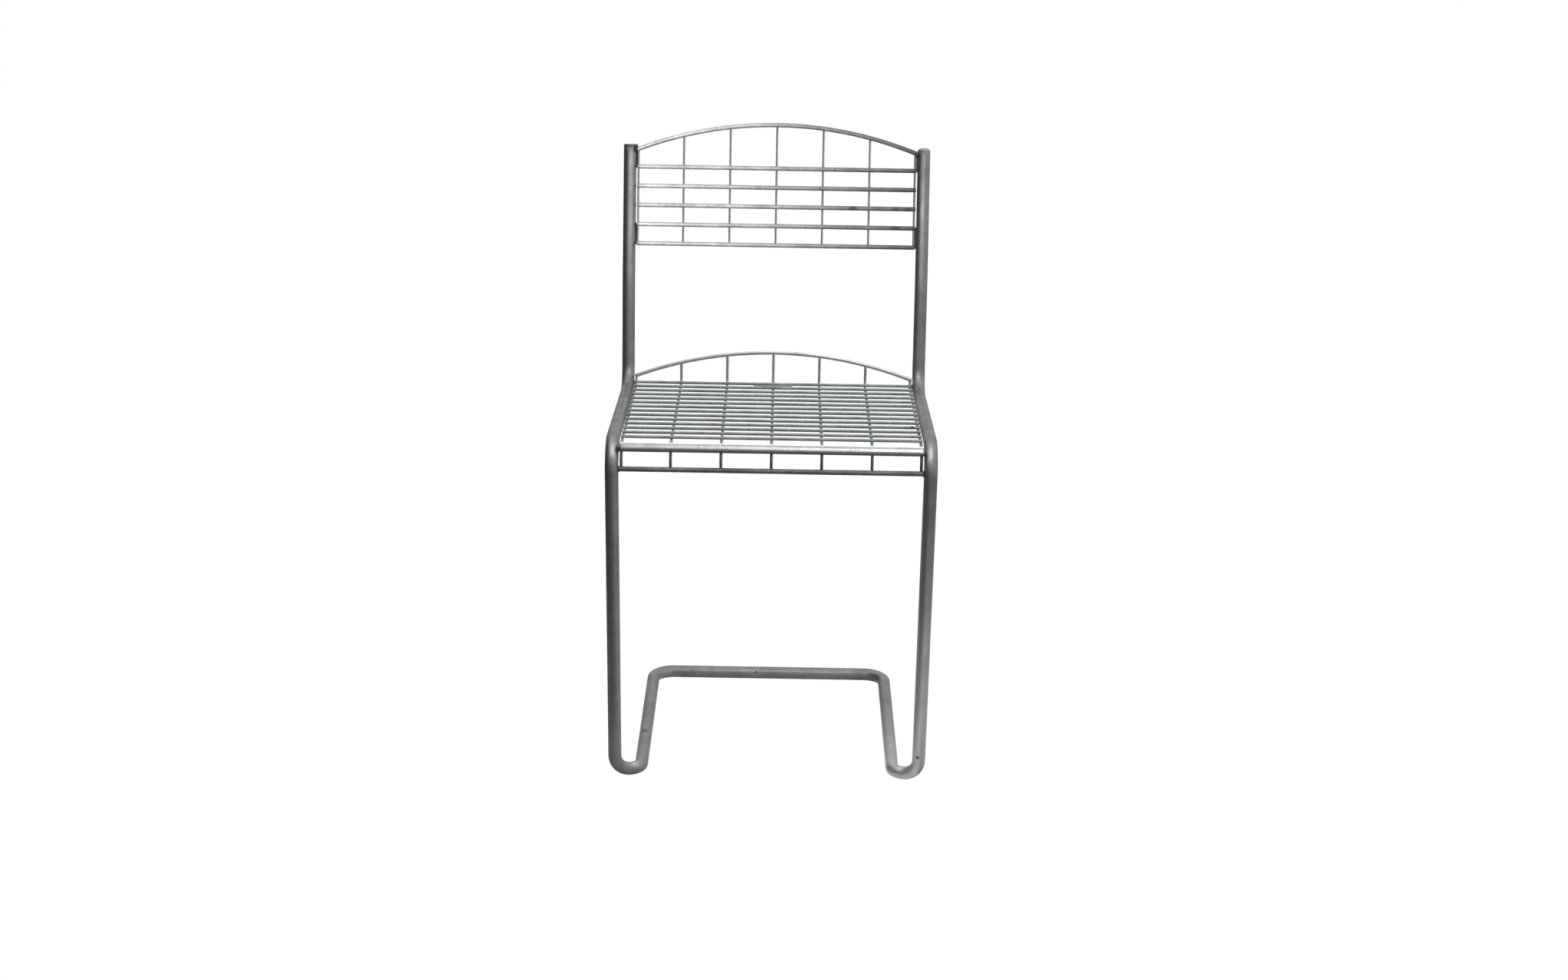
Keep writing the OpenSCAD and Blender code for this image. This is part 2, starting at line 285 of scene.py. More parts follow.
def nugget(centre, size, axes=(X_AXIS, Y_AXIS, Z_AXIS), lump=0.16, seed=0.0, rows=7, sides=12):
    """A lumpy bead of weld metal; size holds its half lengths along the axes."""
    ex, ey, ez = axes
    verts = [centre + ez * size[2]]
    for i in range(1, rows):
        a = math.pi * i / rows
        for j in range(sides):
            b = 2 * math.pi * j / sides
            d = (ex * (math.sin(a) * math.cos(b) * size[0]) + ey * (math.sin(a) * math.sin(b) * size[1])
                 + ez * (math.cos(a) * size[2]))
            verts.append(centre + d * (1 + lump * wobble(centre + d, 900, seed)))
    verts.append(centre - ez * size[2])
    last = len(verts) - 1
    faces = [(0, 1 + j, 1 + (j + 1) % sides) for j in range(sides)]
    for i in range(rows - 2):
        for j in range(sides):
            a, b = 1 + i * sides + j, 1 + i * sides + (j + 1) % sides
            faces.append((a, a + sides, b + sides, b))
    base = 1 + (rows - 2) * sides
    faces += [(base + j, last, base + (j + 1) % sides) for j in range(sides)]
    return verts, faces


def crossing(centre_a, along_a, r_a, centre_b, along_b, r_b, seed):
    """Weld metal squeezed out where bar a lies on bar b."""
    n = (centre_a - centre_b).normalized()
    contact = centre_b + n * r_b
    ex = (along_a - n * along_a.dot(n)).normalized()
    ey = n.cross(ex)
    if abs(ey.dot(along_b)) < 0.5:
        ey = (along_b - n * along_b.dot(n)).normalized()
    size = (math.sqrt(2 * r_b * BEAD_GAP), math.sqrt(2 * r_a * BEAD_GAP), BEAD_HALF_HEIGHT)
    return nugget(contact, size, (ex, ey, n), seed=seed)


def back_bead(low_end, on_cross, drop, seed):
    """The bead where the upright wire from low_end passes behind a cross wire or the arch."""
    mid = at_x(low_end.x, on_cross)
    spot = low_end + BACK_UP * ((mid - low_end).dot(BACK_UP) - drop)
    return crossing(mid, X_AXIS, BACK_CROSS_R, spot, BACK_UP, BACK_WIRE_R, seed)


def lathe(centre, up, profile, sides=40):
    """Turns a profile of (radius, height) round the axis up; it starts and ends on the axis."""
    e1 = up.orthogonal().normalized()
    e2 = up.cross(e1)
    verts, faces = [centre + up * profile[0][1]], []
    for r, h in profile[1:-1]:
        for j in range(sides):
            a = 2 * math.pi * j / sides
            verts.append(centre + up * h + (e1 * math.cos(a) + e2 * math.sin(a)) * r)
    verts.append(centre + up * profile[-1][1])
    rows, last = len(profile) - 2, len(verts) - 1
    base = 1 + (rows - 1) * sides
    for j in range(sides):
        j2 = (j + 1) % sides
        faces.append((0, 1 + j2, 1 + j))
        for i in range(rows - 1):
            a = 1 + i * sides
            faces.append((a + j, a + j2, a + sides + j2, a + sides + j))
        faces.append((last, base + j, base + j2))
    return verts, faces


def plate_mesh():
    """An oblong with rounded corners and softened edges, its top face sunk a little."""
    centre, half_width = middle("name_plate"), half_side("name_plate", X)
    along = Vector((0, -SEAT_DIR.y, -SEAT_DIR.z))
    outline = []
    for cx, cy, start in ((1, 1, 0), (-1, 1, 90), (-1, -1, 180), (1, -1, 270)):
        for turn in range(0, 91, 15):
            a = math.radians(start + turn)
            outline.append((cx * (half_width - PLATE_CORNER), cy * (PLATE_HALF_RUN - PLATE_CORNER),
                            math.cos(a), math.sin(a)))
    rim = PLATE_EDGE / PLATE_THICK
    # each layer's height, as a share of the thickness, and the radius of its corners
    layers = [(-0.5, PLATE_CORNER - PLATE_EDGE), (-0.5 + rim, PLATE_CORNER), (0.5 - rim, PLATE_CORNER),
              (0.5, PLATE_CORNER - PLATE_EDGE), (0.5, PLATE_CORNER - 3 * PLATE_EDGE),
              (0.42, PLATE_CORNER - 4.5 * PLATE_EDGE)]
    verts, faces = [], []
    for h, c in layers:
        for ox, oy, ca, sa in outline:
            verts.append(centre + X_AXIS * (ox + c * ca) + along * (oy + c * sa)
                         + SEAT_UP * (h * PLATE_THICK))
    n = len(outline)
    for k in range(len(layers) - 1):
        for j in range(n):
            a, b = k * n + j, k * n + (j + 1) % n
            faces.append((a, b, b + n, a + n))
    faces.append(tuple(range(n))[::-1])
    faces.append(tuple((len(layers) - 1) * n + j for j in range(n)))
    return verts, faces


# ---------------------------------------------------------------- materials


class Nodes:
    """Short words for building one material's node tree."""

    def __init__(self, name):
        self.material = bpy.data.materials.new(name)
        self.material.use_nodes = True
        self.tree = self.material.node_tree
        self.tree.nodes.clear()
        self.place = self.add("ShaderNodeTexCoord").outputs["Object"]

    def add(self, kind, **values):
        node = self.tree.nodes.new(kind)
        for key, value in values.items():
            if key in node.inputs:
                self.put(node.inputs[key], value)
            else:
                setattr(node, key, value)
        return node

    def put(self, socket, value):
        if isinstance(value, bpy.types.NodeSocket):
            self.tree.links.new(value, socket)
        else:
            socket.default_value = value

    def math(self, operation, a, b=0.0, c=0.0, clamp=False):
        node = self.tree.nodes.new("ShaderNodeMath")
        node.operation = operation
        node.use_clamp = clamp
        for socket, value in zip(node.inputs, (a, b, c)):
            self.put(socket, value)
        return node.outputs[0]

    def vary(self, pattern, amount, base):
        """base, moved up and down by a pattern round its middle."""
        return self.math("MULTIPLY_ADD", self.math("SUBTRACT", pattern, 0.5), amount, base)

    def noise(self, scale, detail, rough, move=(0, 0, 0)):
        where = self.add("ShaderNodeMapping", Vector=self.place)
        where.inputs["Location"].default_value = move
        node = self.add("ShaderNodeTexNoise", Vector=where.outputs[0])
        node.inputs["Scale"].default_value = scale
        node.inputs["Detail"].default_value = detail
        node.inputs["Roughness"].default_value = rough
        return node.outputs["Fac"]

    def cells(self, scale):
        node = self.add("ShaderNodeTexVoronoi", Vector=self.place)
        node.inputs["Scale"].default_value = scale
        split = self.add("ShaderNodeSeparateColor", Color=node.outputs["Color"])
        return split.outputs[0]

    def ramp(self, value, low, high):
        node = self.add("ShaderNodeMapRange", Value=value)
        node.inputs["From Min"].default_value = low
        node.inputs["From Max"].default_value = high
        return node.outputs["Result"]

    def distance(self, point):
        node = self.add("ShaderNodeVectorMath", operation="DISTANCE")
        self.put(node.inputs[0], self.place)
        node.inputs[1].default_value = point
        return node.outputs["Value"]

    def blend(self, factor, a, b):
        node = self.tree.nodes.new("ShaderNodeMix")
        node.data_type = "RGBA"
        self.put(node.inputs["Factor"], factor)
        self.put(node.inputs[6], a)
        self.put(node.inputs[7], b)
        return node.outputs[2]


# How many lumps of each pattern there are in a metre.
CLOUDS, CRYSTALS, GRAIN, STAINS, RELIEF, RAGGED = 34, 230, 1500, 120, 700, 420
PAINTED_GLOW_DARK = 0.72               # the darkest of the painted pool of light, as a share of its palest


def zinc(name, dark, light, rough, patch=0.5, spangle=0.35, speck=0.25, bump=0.00006, spots=(), painted_shade=None,
         painted_glow=None, facets=0.25, stains=0.45):
    """Galvanised steel: cloudy patches, crystal spangle, fine grain, matt stains, optional spots, painted
    shade and glow.

    The colour runs from dark to light. patch, spangle and speck are how much the clouds, the crystals and the
    grain move it, stains how dark the stains are, and facets how much the crystals show in the relief, which
    is bump metres deep. spots holds a point, a radius and a colour each. painted_shade is painted shade: an
    axis, where along it the colour starts to fade, where it is done, and the share that is left there.
    painted_glow is a painted pool of light: a point, its inner and outer radius, and its palest colour.
    """
    n = Nodes(name)
    clouds = n.ramp(n.noise(CLOUDS, detail=4, rough=0.6), 0.3, 0.7)
    crystal = n.cells(CRYSTALS)
    grain = n.noise(GRAIN, detail=2, rough=0.6, move=(0.3, 0.1, 0.7))
    stain = n.ramp(n.noise(STAINS, detail=5, rough=0.65, move=(0.9, 0.4, 0.2)), 0.56, 0.72)
    tone = n.vary(clouds, patch, 0.5)
    tone = n.vary(crystal, spangle, tone)
    tone = n.vary(grain, speck * 2, tone)
    tone = n.math("MULTIPLY_ADD", stain, -stains, tone, clamp=True)
    color = n.blend(tone, (*dark, 1), (*light, 1))
    roughness = n.vary(clouds, -0.10, rough)
    roughness = n.math("MULTIPLY_ADD", stain, 0.12, roughness)
    # A painted pool of light, palest at its centre.
    if painted_glow:
        point, inner, outer, pale = painted_glow
        glow_color = n.blend(tone, (*[c * PAINTED_GLOW_DARK for c in pale], 1), (*pale, 1))
        color = n.blend(n.ramp(n.distance(point), outer, inner), color, glow_color)
    # Painted shade: the colour darkens along an axis.
    if painted_shade:
        axis, start, end, left = painted_shade
        along = n.add("ShaderNodeSeparateXYZ", Vector=n.place).outputs[axis]
        color = n.blend(n.ramp(along, start, end), color, n.blend(left, (0, 0, 0, 1), color))
    for point, radius, tint in spots:
        ragged = n.math("MULTIPLY_ADD", n.noise(RAGGED, detail=4, rough=0.7), 1.6 * radius, n.distance(point))
        mask = n.math("SUBTRACT", 1.0, n.ramp(ragged, 1.0 * radius, 1.75 * radius))
        color = n.blend(mask, color, (*tint, 1))
        roughness = n.math("MULTIPLY_ADD", mask, 0.25, roughness)
    height = n.math("MULTIPLY_ADD", crystal, facets, n.noise(RELIEF, detail=3, rough=0.6))
    bumps = n.add("ShaderNodeBump", Height=height)
    bumps.inputs["Strength"].default_value = 0.6
    bumps.inputs["Distance"].default_value = bump
    shader = n.add("ShaderNodeBsdfPrincipled", Normal=bumps.outputs[0])
    shader.inputs["Metallic"].default_value = 1.0
    n.put(shader.inputs["Base Color"], color)
    n.put(shader.inputs["Roughness"], roughness)
    n.add("ShaderNodeOutputMaterial", Surface=shader.outputs[0])
    return n.material


def on_wire(row, x):
    """The front of a back cross wire at x."""
    low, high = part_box(f"back_cross_wire_{row}")
    return (x, low.y, (low.z + high.z) / 2)


RUST_PALE, RUST_BROWN, DARK_STAIN = (0.34, 0.26, 0.18), (0.27, 0.175, 0.095), (0.20, 0.215, 0.225)
TUBE_SPOTS = [
    ((-HALF_W + RUNNER_IN - 0.001, FOOT_Y + 0.122, 0.0165), 0.0085, RUST_PALE),
    ((HALF_W - 0.002, FOOT_Y - 0.012, 0.040), 0.0034, RUST_BROWN),
    ((-0.018, BAR_Y - 0.0075, 0.0126), 0.0026, RUST_BROWN),
]
BACK_SPOTS = [(on_wire(row, x), radius, DARK_STAIN) for row, x, radius in (
    (2, 0.105, 0.009), (2, 0.163, 0.009), (2, 0.178, 0.010), (1, 0.163, 0.011))]
SEAT_SPOTS = [((0.180, -0.110, 0.473), 0.0030, RUST_BROWN)]
# A paler patch low on the right leg: a painted pool of light.
PAINTED_GLOW_FOOT = ((HALF_W, FOOT_Y - 0.01, 0.10), 0.05, 0.27, (0.93, 0.94, 0.925))
WIRE = dict(dark=(0.66, 0.685, 0.69), light=(0.92, 0.94, 0.945), rough=0.38, patch=0.7, speck=0.3,
            bump=0.00004)

tube_zinc = zinc("zinc_tube", (0.30, 0.299, 0.300), (0.59, 0.589, 0.587), rough=0.48, patch=0.55,
                 spangle=0.10, speck=0.55, bump=0.00004, spots=TUBE_SPOTS, facets=0.0, stains=0.12,
                 painted_glow=PAINTED_GLOW_FOOT)
# The right cap is the paler one: its paler zinc is a painted highlight.
cap_zinc = {
    "left": zinc("zinc_cap_dark", (0.30, 0.30, 0.305), (0.56, 0.56, 0.565), rough=0.5, spangle=0.1),
    "right": zinc("zinc_cap_painted_highlight", (0.50, 0.50, 0.50), (0.80, 0.80, 0.80), rough=0.45, spangle=0.1),
}
wire_zinc = zinc("zinc_wire", **WIRE)
# The long wires darken below the front rod: painted shade under the rod.
long_zinc = zinc("zinc_long", **WIRE, painted_shade=("Z", ROD_LOW + 0.002, ROD_LOW - 0.003, 0.42))
# The back's cross wires darken towards the right: painted shade, for light that falls from the left.
back_zinc = zinc("zinc_back", (0.60, 0.635, 0.645), (0.95, 0.975, 0.98), rough=0.46, patch=0.9, speck=0.35,
                 bump=0.00004, painted_shade=("X", -0.08, 0.19, 0.31), spots=BACK_SPOTS)
seat_zinc = zinc("zinc_seat", (0.40, 0.445, 0.455), (0.72, 0.77, 0.78), rough=0.42, patch=0.8, speck=0.4,
                 bump=0.00004, spots=SEAT_SPOTS)
# The apron wire is darker than the other wires: painted shade under the front rod.
apron_shade_zinc = zinc("zinc_apron_painted_shade", (0.26, 0.275, 0.28), (0.50, 0.52, 0.525), rough=0.42, patch=0.8, speck=0.5,
                  bump=0.00005)
# The front rod darkens towards its underside: painted shade.
rod_zinc = zinc("zinc_rod", (0.60, 0.60, 0.59), (0.95, 0.945, 0.93), rough=0.38, patch=0.6, speck=0.8,
                bump=0.00008, painted_shade=("Z", ROD_LOW + 0.0052, ROD_LOW + 0.0012, 0.30))
plate_zinc = zinc("zinc_plate", (0.46, 0.49, 0.50), (0.72, 0.75, 0.755), rough=0.42, bump=0.00004)
weld_zinc = zinc("zinc_weld", (0.14, 0.145, 0.15), (0.42, 0.43, 0.44), rough=0.55, patch=0.8, speck=0.5,
                 bump=0.00012)
# Paler weld metal: a painted highlight, used for the seat's weld beads and the right-hand weld rods.
lit_weld_zinc = zinc("zinc_weld_painted_highlight", (0.44, 0.47, 0.48), (0.86, 0.88, 0.885), rough=0.42, patch=0.8, speck=0.5,
                 bump=0.0001)

# ---------------------------------------------------------------- frame tube and its caps

half_path = [
    Vector((-HALF_W, TOP_Y, TOP_Z)) - BACK_UP * CAP_DROP,
    Vector((-HALF_W, KNEE_Y, KNEE_Z)),
    Vector((-HALF_W, REAR_Y, REAR_Z)),
    Vector((-HALF_W, FRONT_Y, FRONT_Z)),
    Vector((-HALF_W, FOOT_Y, FLOOR_Z)),
    Vector((-HALF_W + RUNNER_IN, FOOT_Y + HEEL_BACK, FLOOR_Z)),
    Vector((-HALF_W + RUNNER_IN, BAR_Y, FLOOR_Z)),
]
half_radii = [KNEE_R, BEND_R, BEND_R, FOOT_R, HEEL_R, LOOP_R]
mirrored = [Vector((-p.x, p.y, p.z)) for p in half_path[::-1]]
tube_path = fillet(half_path + mirrored, half_radii + half_radii[::-1], turn_step=4.0, run_step=0.006)
finished("tube_skin", *bar_mesh(tube_path, TUBE_R, sides=44, edge=0.06, lump=0.004, grain=28.0, seed=3.0),
         tube_zinc, "galvanised_tube", ["frame_tube"])

# A cap's profile is (radius, height) for its underside, in the tube's mouth, and then, for its edge, how far
# inside the tube's outer radius it lies and its height. The right cap is the rounder one.
CAP_FOOT = [(0, -0.003), (TUBE_R - 0.0026, -0.003), (TUBE_R - 0.0001, -0.0006)]
CAP_EDGE = {
    "left": [(0.00002, 0.0024), (0.0004, 0.0033), (0.0012, 0.0038), (0.0024, 0.0040), (0.0050, 0.0041)],
    "right": [(0.00002, 0.0008), (0.0003, 0.0019), (0.0009, 0.0028), (0.0018, 0.0036), (0.0030, 0.0042),
              (0.0046, 0.0046), (0.0066, 0.0048)],
}
for side, sign in SIDE.items():
    base = Vector((sign * HALF_W, TOP_Y, TOP_Z)) - BACK_UP * CAP_DROP
    profile = CAP_FOOT + [(TUBE_R - inset, height) for inset, height in CAP_EDGE[side]]
    profile.append((0, CAP_EDGE[side][-1][1]))
    finished(f"{side}_cap_skin", *lathe(base, BACK_UP, profile), cap_zinc[side], "galvanised_tube",
             [f"{side}_end_cap"])

# ---------------------------------------------------------------- back

welds_back, welds_seat, welds_frame = [], [], []

top_wire = upright_ends("back_upright_wire_4", BACK_WIRE_R)[1]
back_arch = arch_points(top_wire + BACK_FRONT * (BACK_WIRE_R + BACK_CROSS_R), -BACK_UP, HALF_W - TUBE_R)
finished("back_arch_skin",
         *bar_mesh(back_arch, BACK_CROSS_R, sides=20, edge=0.05, lump=0.02, grain=240, seed=1.0),
         back_zinc, "galvanised_wire", ["back_arch_wire"])

for row, node in enumerate(BACK_CROSS):
    pts, r = straight(node, seed=row * 3.1)
    finished(node.replace("wire", "skin"),
             *bar_mesh(pts, r, sides=20, edge=0.3, lump=0.02, grain=240, seed=row * 2.0),
             back_zinc, "galvanised_wire", [node])

for column in COLUMNS:
    node = f"back_upright_wire_{column}"
    low_end, high_end = upright_ends(node, BACK_WIRE_R)
    pts = between(low_end, high_end, 0.005) + [high_end]
    finished(node.replace("wire", "skin"),
             *bar_mesh(pts, BACK_WIRE_R, sides=14, edge=0.35, lump=0.03, grain=320, seed=column),
             wire_zinc, "galvanised_wire", [node])
    for row, cross in enumerate(BACK_CROSS):
        welds_back.append(back_bead(low_end, middle(cross), 0.0, column * 7 + row))
    nearest = min(back_arch, key=lambda p: abs(p.x - low_end.x))
    welds_back.append(back_bead(low_end, nearest, ARCH_BEAD_DROP, column * 7 + 6))

for level in ("upper", "lower"):
    for side, sign in SIDE.items():
        node = f"back_weld_rod_{level}_{side}"
        low_end, high_end = upright_ends(node, WELD_ROD_R)
        pts = between(low_end, high_end, 0.0009) + [high_end]
        # The right-hand weld rods take the paler weld metal, a painted highlight.
        finished(node.replace("rod", "skin"),
                 *bar_mesh(pts, WELD_SKIN_R, sides=14, edge=0.6, lump=0.10, grain=500, seed=sign * 4,
                           shape=ripples(len(pts), sign * 3 + len(level))),
                 weld_zinc if side == "left" else lit_weld_zinc, "weld_steel", [node])

for side, sign in SIDE.items():
    tip = back_arch[-1] if side == "right" else back_arch[0]
    half_width, half_length, rise = ARCH_WELD[side]
    centre = tip - X_AXIS * sign * ARCH_WELD_IN + BACK_UP * rise
    welds_frame.append(nugget(centre, (half_width, ARCH_WELD_HALF_DEPTH, half_length),
                              (X_AXIS, BACK_REAR, BACK_UP), lump=0.22, seed=sign * 2.0, rows=12, sides=18))

# ---------------------------------------------------------------- seat

arch_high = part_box("seat_arch_wire")[1]
seat_crown = Vector((0, middle("seat_arch_wire").y, arch_high.z - SEAT_ARCH_R))
seat_arch = arch_points(seat_crown, -Z_AXIS, arch_high.x - SEAT_ARCH_IN)
finished("seat_arch_skin",
         *bar_mesh(seat_arch, SEAT_ARCH_R, sides=20, edge=0.3, lump=0.02, grain=240, seed=5.0),
         wire_zinc, "galvanised_wire", ["seat_arch_wire"])

long_x = []
for column in COLUMNS:
    node = f"seat_long_wire_{column}"
    low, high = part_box(node)
    x = (low.x + high.x) / 2
    long_x.append(x)
    corners = [Vector((x, SEAT_FRONT_Y, low.z)), Vector((x, SEAT_FRONT_Y, seat_z(SEAT_FRONT_Y))),
               Vector((x, SEAT_REAR_Y, seat_z(SEAT_REAR_Y))), Vector((x, SEAT_REAR_Y, high.z))]
    pts = fillet(corners, [SEAT_FRONT_R, SEAT_REAR_R], turn_step=6, run_step=0.005)
    finished(node.replace("wire", "skin"),
             *bar_mesh(pts, SEAT_WIRE_R, sides=16, edge=0.35, lump=0.03, grain=300, seed=column * 1.7),
             long_zinc, "galvanised_wire", [node])

for row in SEAT_ROWS:
    node = f"seat_cross_wire_{row}"
    pts, r = straight(node, seed=row * 1.9)
    finished(node.replace("wire", "skin"),
             *bar_mesh(pts, r, sides=16, edge=0.35, lump=0.025, grain=300, seed=row * 1.3),
             seat_zinc, "galvanised_wire", [node])
    mid = middle(node)
    for column, x in enumerate(long_x):
        top = at_x(x, mid)
        under = top - SEAT_UP * (SEAT_CROSS_R + SEAT_WIRE_R)
        welds_seat.append(crossing(top, X_AXIS, SEAT_CROSS_R, under, SEAT_DIR, SEAT_WIRE_R, row * 9 + column))

rod_pts, ROD_R = straight("seat_front_rod", seed=2.0, bow=0.0001)
rod_pts = [p for p in rod_pts if abs(p.x) < ROD_LAST]
rod_pts = [at_x(-ROD_HALF, rod_pts[0])] + rod_pts + [at_x(ROD_HALF, rod_pts[-1])]
finished("seat_front_rod_skin",
         *bar_mesh(rod_pts, ROD_R, sides=32, edge=0.05, lump=0.01, grain=200, seed=8.0),
         rod_zinc, "galvanised_rod", ["seat_front_rod"])
apron_pts, APRON_R = straight("seat_apron_wire", seed=4.0, bow=0.0001)
finished("seat_apron_skin",
         *bar_mesh(apron_pts, APRON_R, sides=22, edge=0.05, lump=0.015, grain=240, seed=9.0),
         apron_shade_zinc, "galvanised_wire", ["seat_apron_wire"])

rod_mid, apron_mid = middle("seat_front_rod"), middle("seat_apron_wire")
bend_centre = Vector((0, SEAT_FRONT_Y + SEAT_FRONT_R, seat_z(SEAT_FRONT_Y) - SEAT_FRONT_R))
to_rod = at_x(0, rod_mid - bend_centre).normalized()
for column, x in enumerate(long_x):
    at_rod = at_x(x, rod_mid)
    welds_seat.append(crossing(at_rod, X_AXIS, ROD_R, at_rod - to_rod * (ROD_R + SEAT_WIRE_R),
                               X_AXIS.cross(to_rod), SEAT_WIRE_R, 200 + column))
    front_end = Vector((x, SEAT_FRONT_Y, apron_mid.z + APRON_BEAD_RISE))
    welds_seat.append(crossing(at_x(x, apron_mid), X_AXIS, APRON_R, front_end, Z_AXIS, SEAT_WIRE_R,
                               220 + column))
    at_arch = at_x(x, min(seat_arch, key=lambda p: abs(p.x - x)))
    rear_end = Vector((x, SEAT_REAR_Y, at_arch.z - ARCH_BEAD_DROP))
    welds_seat.append(crossing(at_arch, X_AXIS, SEAT_ARCH_R, rear_end, Z_AXIS, SEAT_WIRE_R, 240 + column))

for side, sign in SIDE.items():
    welds_frame.append(nugget(at_x(sign * ROD_WELD_X, rod_mid) + ROD_WELD_SHIFT, ROD_WELD,
                              lump=0.25, seed=sign * 2.0, rows=10, sides=16))
    welds_frame.append(nugget(at_x(sign * APRON_WELD_X, apron_mid), APRON_WELD,
                              lump=0.25, seed=sign * 3.0, rows=10, sides=16))
    for end in ("front", "rear"):
        node = f"seat_weld_pin_{end}_{side}"
        pin = nugget(middle(node), WELD_PIN, lump=0.3, seed=sign * 3 + len(end), rows=10, sides=18)
        finished(node.replace("pin", "skin"), *pin, weld_zinc, "weld_steel", [node])

finished("back_weld_spots", *joined(welds_back), weld_zinc, "weld_steel")
# The seat's weld beads take the paler weld metal, a painted highlight.
finished("seat_weld_spots", *joined(welds_seat), lit_weld_zinc, "weld_steel")
finished("frame_weld_fillets", *joined(welds_frame), weld_zinc, "weld_steel")
finished("plate_skin", *plate_mesh(), plate_zinc, "galvanised_plate", ["name_plate"])

# ---------------------------------------------------------------- studio

PAGE_WHITE = (1.0, 1.0, 0.98, 1)
FLOOR_REACH = 24.0
AIM = (0, 0, 0.45)


def softbox(name, place, target, size, radiance):
    """A rectangular area lamp of a given brightness, aimed at target."""
    lamp = bpy.data.lights.new(name, "AREA")
    lamp.shape = "RECTANGLE"
    lamp.size, lamp.size_y = size
    lamp.energy = radiance * size[0] * size[1] * math.pi
    obj = bpy.data.objects.new(name, lamp)
    SCENE.collection.objects.link(obj)
    obj.location = place
    obj.rotation_euler = (Vector(target) - Vector(place)).to_track_quat("-Z", "Y").to_euler()
    obj.visible_camera = False
    return obj


def light_only(lamp, names):
    """Lets a lamp reach only the named pieces, as a flag would on a studio stand."""
    group = bpy.data.collections.new(lamp.name + "_on")
    for name in names:
        group.objects.link(bpy.data.objects[name])
    lamp.light_linking.receiver_collection = group


def glowing(name, color):
    """A matt surface, dark in itself, that glows as white as a page."""
    n = Nodes(name)
    shader = n.add("ShaderNodeBsdfPrincipled")
    mottle = n.blend(n.noise(3.0, detail=2, rough=0.5), (*[c * 0.985 for c in color], 1), (*color, 1))
    n.put(shader.inputs["Base Color"], mottle)
    shader.inputs["Roughness"].default_value = 0.9
    shader.inputs["Specular IOR Level"].default_value = 0.1
    shader.inputs["Emission Color"].default_value = PAGE_WHITE
    shader.inputs["Emission Strength"].default_value = 1.0
    n.add("ShaderNodeOutputMaterial", Surface=shader.outputs[0])
    return n.material


floor_mesh = bpy.data.meshes.new("floor")
floor_corners = [(x * FLOOR_REACH, y * FLOOR_REACH, 0) for x, y in ((-1, -1), (1, -1), (1, 1), (-1, 1))]
floor_mesh.from_pydata(floor_corners, [], [(0, 1, 2, 3)])
floor_mesh.materials.append(glowing("pale_floor", (0.01, 0.01, 0.01)))
floor = bpy.data.objects.new("floor", floor_mesh)
SCENE.collection.objects.link(floor)
# The camera sees the floor, but it throws no light or shadow: lamps below it light the chair.
floor.visible_glossy = False
floor.visible_diffuse = False
floor.visible_shadow = False

# Every lamp has a name, a place, a target, its width and height, and its radiance.
# These stand round the whole chair, as a tent of white cloth would.
tent = [
    ("right_high", (4, 0, 2.3), (0, 0, 2.3), (8, 4.2), 0.55),
    ("right_low", (4, 0, -1.7), (0, 0, -1.7), (8, 3.8), 0.20),
    ("left_wall", (-4, 0, 0.4), AIM, (8, 8), 0.035),
    ("front_high_left", (-2, -4, 2.4), (-2, 0, 2.4), (4, 4), 0.23),
    ("front_high_right", (2, -4, 2.4), (2, 0, 2.4), (4, 4), 0.42),
    ("front_low_left", (-2, -4, -1.6), (-2, 0, -1.6), (4, 4), 0.08),
    ("front_low_right", (2, -4, -1.6), (2, 0, -1.6), (4, 4), 0.18),
    ("back_wall", (0, 4, 0.4), AIM, (8, 8), 0.38),
    ("ceiling", (0, 0, 4.4), AIM, (8, 8), 0.62),
    ("low_wall", (0, 0, -3.6), AIM, (8, 8), 0.08),
    ("floor_glow_left", (-0.30, 0.3, -0.01), (-0.30, 0.3, 1), (0.8, 1.2), 0.16),
    ("floor_glow_right", (0.45, 0.2, -0.01), (0.45, 0.2, 1), (0.7, 1.3), 0.12),
]
for lamp in tent:
    softbox(*lamp)

# These light only the pieces that come last in each line.
TUBE_NAMES, ROD_NAMES, ARCH_NAMES = ["tube_skin"], ["seat_front_rod_skin"], ["seat_arch_skin"]
BACK_NAMES = ["back_arch_skin"] + [node.replace("wire", "skin") for node in BACK_CROSS]
UPRIGHT_NAMES = [f"back_upright_skin_{i}" for i in COLUMNS]
LONG_NAMES = [f"seat_long_skin_{i}" for i in COLUMNS]
SEAT_NAMES = [f"seat_cross_skin_{i}" for i in SEAT_ROWS]
linked = [
    ("back_strip", (-0.5, -1.5, 1.0), (-0.2, 0.17, 0.72), (0.45, 4.0), 3.0, BACK_NAMES),
    ("back_top", (-0.6, 1.5, 2.6), (-0.2, 0.17, 0.72), (0.9, 1.6), 0.4, BACK_NAMES),
    ("rod_top", (0.3, 2.5, 2.0), (0.0, -0.2, 0.47), (3.0, 1.6), 2.5, ROD_NAMES),
    ("rail_back", (0.3, 3.7, 1.5), AIM, (3.2, 1.2), 0.28, TUBE_NAMES),
    ("floor_front_right", (0.28, -0.55, -0.01), (0.28, -0.55, 1), (0.4, 0.5), 0.22, TUBE_NAMES),
    ("floor_middle", (0.08, -0.08, -0.01), (0.08, -0.08, 1), (0.25, 0.45), 0.30, TUBE_NAMES),
]
GLINTS = {"left": (6.0, 4.8), "right": (1.3, 5.8)}      # radiance at the foot and at the front bend
GLINT_X = 0.183
